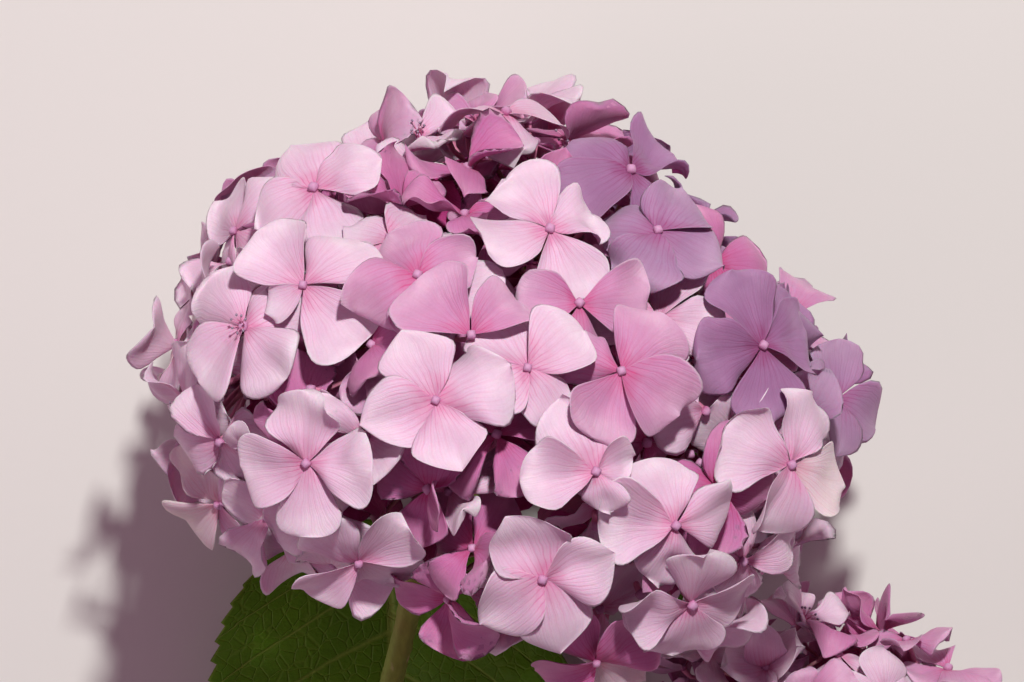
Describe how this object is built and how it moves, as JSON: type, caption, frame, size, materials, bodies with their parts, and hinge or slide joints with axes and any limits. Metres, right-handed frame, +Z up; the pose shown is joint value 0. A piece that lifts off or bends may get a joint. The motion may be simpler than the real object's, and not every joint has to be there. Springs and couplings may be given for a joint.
{
  "type": "cut hydrangea branch with mophead blooms",
  "caption": "Cut branch of a pink mophead hydrangea lying on its side: a full bloom on the main stem, a smaller bloom on a side shoot, and opposite toothed leaves.",
  "frame": {"origin": "on the ground, under the middle of the whole branch's bounding box", "axes": "+Z up; the branch lies along Y with its cut end towards -Y and its large bloom towards +Y; the side shoot is on the +X side"},
  "size_m": [0.2922, 0.3238, 0.1675],
  "materials": {
    "petals": "matt pale pink sepals with deeper pink veins and centres",
    "leaves": "satin mid green with paler veins",
    "stem": "green-brown young bark with small pale specks"
  },
  "bodies": {
    "root": {"main_stem": "stem", "side_shoot": "stem", "large_bloom": "petals", "small_bloom": "petals", "upper_leaf_left": "leaves", "upper_leaf_right": "leaves", "lower_leaf_left": "leaves", "lower_leaf_right": "leaves", "shoot_leaf_left": "leaves", "shoot_leaf_right": "leaves"}
  },
  "joints": []
}
